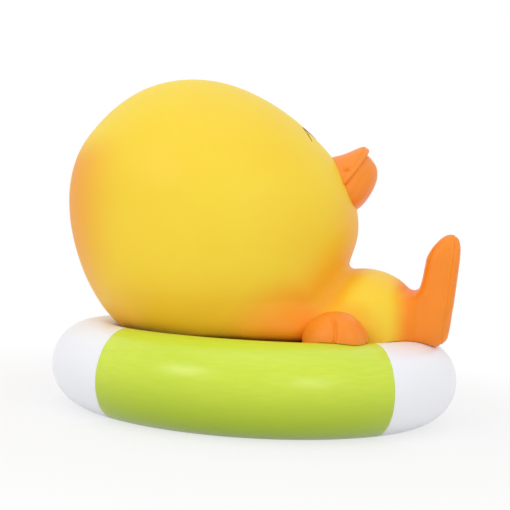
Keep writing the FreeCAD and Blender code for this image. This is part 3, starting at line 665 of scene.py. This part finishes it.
def paint_shade_and_legs(piece):
    """How much orange each point gets: 1 at the legs, which are orange, and orange painted as shade fading
    over the neck crease, nape, face, shoulders and lower edge.
    """
    at = np.array([vert.co for vert in piece.data.vertices])
    x, z = at[:, 0], at[:, 2] - BASE_Z
    from_head, from_belly = np.abs(head_gap(at)), np.abs(belly_gap(at))
    from_neck = np.maximum(from_head, from_belly)
    from_shoulder = np.minimum(*[np.linalg.norm((at - SHOULDER * (1, side, 1)) * SHOULDER_SPREAD, axis=1)
                                 for side in (1, -1)])
    # Orange painted as shade, strongest in the neck crease, by the ring and beside the hands.
    head_shade = np.maximum.reduce([
        NECK_CREASE_SHADE * (1 - step(from_neck, 1 * MM, 32 * MM)),
        NAPE_SHADE * step(-x, 62 * MM, 104 * MM) * (1 - step(z, 84 * MM, 106 * MM)),
        FACE_SHADE * step(x, 30 * MM, 54 * MM) * (1 - step(z, 66 * MM, 86 * MM)),
        BRIM_SHADE * (1 - step(z, 2 * MM, 40 * MM)),
        SHOULDER_SHADE * (1 - step(from_shoulder, 10 * MM, 46 * MM))])
    belly_shade = np.maximum(BELLY_CREASE_SHADE * (1 - step(from_neck, 1 * MM, 18 * MM)),
                          BELLY_SIDE_SHADE * (1 - step(from_shoulder, 20 * MM, 40 * MM)))
    belly_share = step(from_head - from_belly, -7 * MM, 11 * MM)
    ahead = (at @ np.array(BODY_TURN.to_3x3()))[:, 0]
    for name, values in (("painted_shade", head_shade * (1 - belly_share) + belly_shade * belly_share),
                         ("leg_paint", step(ahead, 72 * MM, 84 * MM))):
        layer = piece.data.attributes.new(name, "FLOAT", "POINT")
        layer.data.foreach_set("value", values.astype(np.float32))


paint_shade_and_legs(duck)
smoothed(duck)


def yellow_of(nodes, links, cloud):
    """Yellow vinyl, turned orange by painted shade in its creases and low down, and fully orange at the
    legs.
    """
    base = two_tone((0.955, 0.655, 0.040), (0.965, 0.70, 0.048))(nodes, links, cloud)
    shade_layer, leg = nodes.new("ShaderNodeAttribute"), nodes.new("ShaderNodeAttribute")
    shade_layer.attribute_name, leg.attribute_name = "painted_shade", "leg_paint"
    # The orange that the painted shade mixes in.
    shaded = mixed(nodes, links, shade_layer.outputs["Fac"], base, (0.965, 0.29, 0.010, 1))
    return mixed(nodes, links, leg.outputs["Fac"], shaded, (0.96, 0.27, 0.012, 1))


duck_yellow = plastic("duck_yellow", yellow_of, roughness=0.44, subsurface=0.12, gloss=0.25)
duck.data.materials.append(duck_yellow)
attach(duck, "float")
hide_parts("duck_shell")

# ------------------------------------------------------------------ feet
# Two orange vinyl boots held up in front of the belly and plugged onto the legs at the ankle,
# each with a flat sole whose edge shows as a fine crease all round.
vinyl_orange = plastic("vinyl_orange", two_tone((0.955, 0.245, 0.010), (0.965, 0.29, 0.018)),
                       roughness=0.40, subsurface=0.12, gloss=0.35)
SOLE_THICKNESS, CREASE_DEPTH, CREASE_WIDTH = 3.6 * MM, 0.38 * MM, 0.36 * MM
SOLE_PLACE, SOLE_LEAN = Vector((RING_R + 19.7 * MM, 0, BASE_Z + 45 * MM)), Vector((33.0, 0, -2.8))
sole_normal = BODY_TURN.to_3x3() @ SOLE_LEAN.normalized()
crease_point = BODY_TURN @ SOLE_PLACE - sole_normal * SOLE_THICKNESS
for name, side in (("left_foot", -1), ("right_foot", 1)):
    bm = bmesh.new()
    bm.from_mesh(feet.data)
    other = [vert for vert in bm.verts if (BODY_TURN.inverted() @ vert.co).y * side < 0]
    bmesh.ops.delete(bm, geom=other, context="VERTS")
    for shift in (-0.6, -0.3, 0, 0.3, 0.6):
        line_point = crease_point + sole_normal * shift * MM
        bmesh.ops.bisect_plane(bm, geom=all_of(bm), dist=1e-7, plane_co=line_point, plane_no=sole_normal)
    bm.normal_update()
    for vert in bm.verts:
        beside = (vert.co - crease_point).dot(sole_normal) / CREASE_WIDTH
        if abs(beside) < 2:
            vert.co -= vert.normal * CREASE_DEPTH * math.exp(-beside**2)
    foot = piece_of(name + "_boot", bm)
    smoothed(foot)
    foot.data.materials.append(vinyl_orange)
    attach(foot, "float")
    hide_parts(name)
bpy.data.objects.remove(feet)

# ------------------------------------------------------------------ hands
# Two small orange mittens of vinyl that rest on the ring, plugged into the body at the
# shoulder; two shallow creases mark the fingers.
HAND_ANGLE = math.radians(49.5)
HAND_RADII = Vector((16.0, 16.4, 14.4)) * MM
HAND_R = RING_R - 12.0 * MM
CREST_Z = TUBE_Z + TUBE_R
FINGER_AT, FINGER_CLOSING, FINGER_WIDTH = 0.62, 0.20, 0.055      # creases, in shares of the hand
FINGER_DEPTH, SWELL, SWELL_WAVES = 0.085, 0.035, 5.2
bm = bmesh.new()
bmesh.ops.create_cone(bm, cap_ends=True, segments=96, radius1=RING_R, radius2=RING_R, depth=BASE_Z,
                      matrix=Matrix.Translation((0, 0, BASE_Z / 2)))
ring_hole = piece_of("ring_hole", bm)
for name, side in (("left_hand", -1), ("right_hand", 1)):
    bm = bmesh.new()
    ball = bmesh.ops.create_uvsphere(bm, u_segments=144, v_segments=96, radius=1)["verts"]
    for vert in ball:
        outward, along, rise = vert.co
        front = step(outward, -0.1, 0.4) * (1 - step(rise, 0.72, 0.94))
        crease_at = FINGER_AT - FINGER_CLOSING * max(rise, 0)
        dip = sum(math.exp(-((along - way * crease_at) / FINGER_WIDTH) ** 2) for way in (-1, 1))
        swell = 1 + front * (SWELL * math.cos(along * SWELL_WAVES) - FINGER_DEPTH * dip)
        vert.co = Vector((outward * HAND_RADII.x, along * HAND_RADII.y, rise * HAND_RADII.z)) * swell
    bmesh.ops.translate(bm, verts=ball, vec=(HAND_R, 0, CREST_Z))
    turn = Matrix.Rotation(side * HAND_ANGLE, 4, "Z")
    bmesh.ops.rotate(bm, verts=ball, cent=(0, 0, 0), matrix=(BODY_TURN @ turn).to_3x3())
    hand = piece_of(name + "_mitten", bm)
    carved(hand, body, bed, ring_hole)
    smoothed(hand)
    hand.data.materials.append(vinyl_orange)
    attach(hand, "float")
    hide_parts(name)

# ------------------------------------------------------------------ bill
# A broad bill in two orange vinyl halves glued into the face: the upper half arches down to
# the cheeks, and the lower one pushes out under it.
NOSTRIL_DEPTH, NOSTRIL_LENGTH, NOSTRIL_HEIGHT = 2.4 * MM, 1.6 * MM, 1.1 * MM
NOSTRIL_X, NOSTRIL_Z = 43.8 * MM, BASE_Z + 91.2 * MM
EDGE_SHARE = 0.3


def lip_form(name, centre, radii, tilt, droop, sweep, bead, fullness, curl=0.0, nostrils=False):
    """Flattened ball, its edge beaded, its tip curled up, its sides bent down and back.

    It is tipped up by tilt degrees. A fullness over 2 squares its top and bottom, and a
    nostril is a dent on each side.
    """
    bm = bmesh.new()
    ball = bmesh.ops.create_uvsphere(bm, u_segments=144, v_segments=96, radius=1)["verts"]
    for vert in ball:
        a, b, c = vert.co
        level = min(math.hypot(a, b), 1.0)
        height = math.copysign((1 - level**fullness) ** (1 / fullness), c)
        swell = 1 + bead * max(0.0, 1 - (height / EDGE_SHARE) ** 2)
        vert.co = Vector((radii[0] * a * swell - sweep * b * b, radii[1] * b * swell,
                          radii[2] * height - droop * b * b + curl * max(a, 0) ** 2)) * MM
    tip_up = Matrix.Rotation(math.radians(-tilt), 3, "Y")
    bmesh.ops.rotate(bm, verts=ball, cent=(0, 0, 0), matrix=tip_up)
    bmesh.ops.translate(bm, verts=ball, vec=(centre[0] * MM, 0, BASE_Z + centre[1] * MM))
    for side in (-1, 1) if nostrils else ():
        bm.normal_update()
        for vert in ball:
            off = math.hypot((vert.co.x - NOSTRIL_X) / NOSTRIL_LENGTH,
                             (vert.co.z - NOSTRIL_Z) / NOSTRIL_HEIGHT)
            if vert.co.y * side > 0:
                vert.co -= vert.normal * NOSTRIL_DEPTH * math.exp(-off**2)
    return piece_of(name, bm)


upper = lip_form("upper_bill_vinyl", centre=(41.4, 95.2), radii=(16.4, 25.5, 5.6), tilt=16.5, droop=13.8,
                 sweep=9.0, bead=0.06, fullness=3, curl=4.5, nostrils=True)
lower = lip_form("lower_bill_vinyl", centre=(47.8, 85.8), radii=(17.0, 23.4, 12.4), tilt=62, droop=0.0,
                 sweep=9.0, bead=0.04, fullness=2.4)
carved(lower, upper, body)
carved(upper, body)
for lip, node in ((upper, "upper_bill"), (lower, "lower_bill")):
    smoothed(lip)
    lip.data.materials.append(vinyl_orange)
    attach(lip, "float")
    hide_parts(node)

# ------------------------------------------------------------------ eyes
# Closed eyes: a thin peaked line of brown paint on each side of the brow, laid on the vinyl
# with a fine brush that thins out at both ends.
EYE_PEAK = Vector((16.8, 112.7)) * MM
EYE_THICKNESS = 0.42 * MM
EYE_LINE = ((-10.6, 8.6, 0.5), (-6.4, 5.0, 0.9), (0.0, 0.0, 1.0), (3.4, 2.4, 0.8), (6.2, 4.8, 0.4))
IN_FRONT = 300 * MM
face_tree = BVHTree.FromObject(duck, bpy.context.evaluated_depsgraph_get())
eye_paint = plastic("eye_paint", two_tone((0.28, 0.085, 0.014), (0.34, 0.11, 0.020)), roughness=0.6)
for name, side in (("left_eye", -1), ("right_eye", 1)):
    line = bpy.data.curves.new(name, "CURVE")
    line.dimensions = "3D"
    line.bevel_depth = EYE_THICKNESS
    line.bevel_resolution = 3
    line.use_fill_caps = True
    spline = line.splines.new("POLY")
    spline.points.add(len(EYE_LINE) - 1)
    for point, (out_by, down_by, thickness) in zip(spline.points, EYE_LINE):
        aside, above = side * (EYE_PEAK.x - out_by * MM), EYE_PEAK.y - down_by * MM
        on_face = face_tree.ray_cast(Vector((IN_FRONT, aside, BASE_Z + above)), Vector((-1, 0, 0)))[0]
        point.co = (*on_face, 1)
        point.radius = thickness
    raw = bpy.data.objects.new(name + "_line", line)
    bpy.context.scene.collection.objects.link(raw)
    mesh = bpy.data.meshes.new_from_object(raw.evaluated_get(bpy.context.evaluated_depsgraph_get()))
    bpy.data.objects.remove(raw)
    eye = bpy.data.objects.new(name, mesh)
    bpy.context.scene.collection.objects.link(eye)
    for polygon in mesh.polygons:
        polygon.use_smooth = True
    mesh.materials.clear()
    mesh.materials.append(eye_paint)
    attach(eye, "float")

for tool in (body, bed, hollow, mouth, ring_hole):
    bpy.data.objects.remove(tool)


# ------------------------------------------------------------------ carrier and canister
# Natural polypropylene mouldings with a fine spark-eroded skin: the plate that carries the
# duck, the tablet canister, its screw cap, and the dowels that join the floats.
def finish_nodes(finish, *names):
    for name in names:
        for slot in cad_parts[name].material_slots:
            slot.material = finish


natural = plastic("natural_moulding", two_tone((0.74, 0.75, 0.75), (0.80, 0.81, 0.81)), roughness=0.50,
                  spread=0.14, peel=0.16, peel_scale=1500.0, subsurface=0.08, subsurface_colour=(1, 1, 1))
finish_nodes(natural, "carrier_plate", "canister", "cap_shell", "ring_dowels")

# ------------------------------------------------------------------ flow ring and tablet tray
# Blue polypropylene mouldings: the flow ring that turns on the canister, the tray for the
# tablets and the pin that holds the tray to the cap.
blue = plastic("blue_moulding", two_tone((0.055, 0.235, 0.50), (0.070, 0.275, 0.56)), roughness=0.42,
               spread=0.12, peel=0.14, peel_scale=1500.0)
finish_nodes(blue, "flow_ring", "tablet_tray", "tray_pin")

# ------------------------------------------------------------------ gaskets, seal and plugs
# Black rubber, moulded, with a dusty bloom in patches. The gaskets are squeezed on both sides
# of the plate, the seal sits in the cap, and the plugs are pushed into the floats' blow holes.
rubber = plastic("black_rubber", two_tone((0.018, 0.018, 0.019), (0.045, 0.045, 0.047)), cloud_scale=60.0,
                 roughness=0.62, spread=0.20, peel=0.20, peel_scale=2200.0)
finish_nodes(rubber, "canister_gasket", "duck_gasket", "cap_seal", "float_plugs")

# ------------------------------------------------------------------ screws
# Stainless steel, bright but finely scratched by the driver and the polishing drum. They hold
# the floats' lugs and the canister's flange to the plate.
steel = plastic("stainless", two_tone((0.52, 0.52, 0.53), (0.62, 0.62, 0.62)), cloud_scale=300.0,
                roughness=0.34, spread=0.30, peel=0.15, peel_scale=4000.0, metallic=1.0)
finish_nodes(steel, "float_screws", "clamp_screws")

# ------------------------------------------------------------------ ballast weight
# Cast iron that keeps the duck upright, dipped in black paint, with the grain of the casting
# sand showing through.
iron = plastic("painted_iron", two_tone((0.022, 0.022, 0.024), (0.050, 0.048, 0.046)), cloud_scale=90.0,
               roughness=0.55, spread=0.25, peel=0.65, peel_scale=700.0, metallic=0.3)
finish_nodes(iron, "ballast_weight")
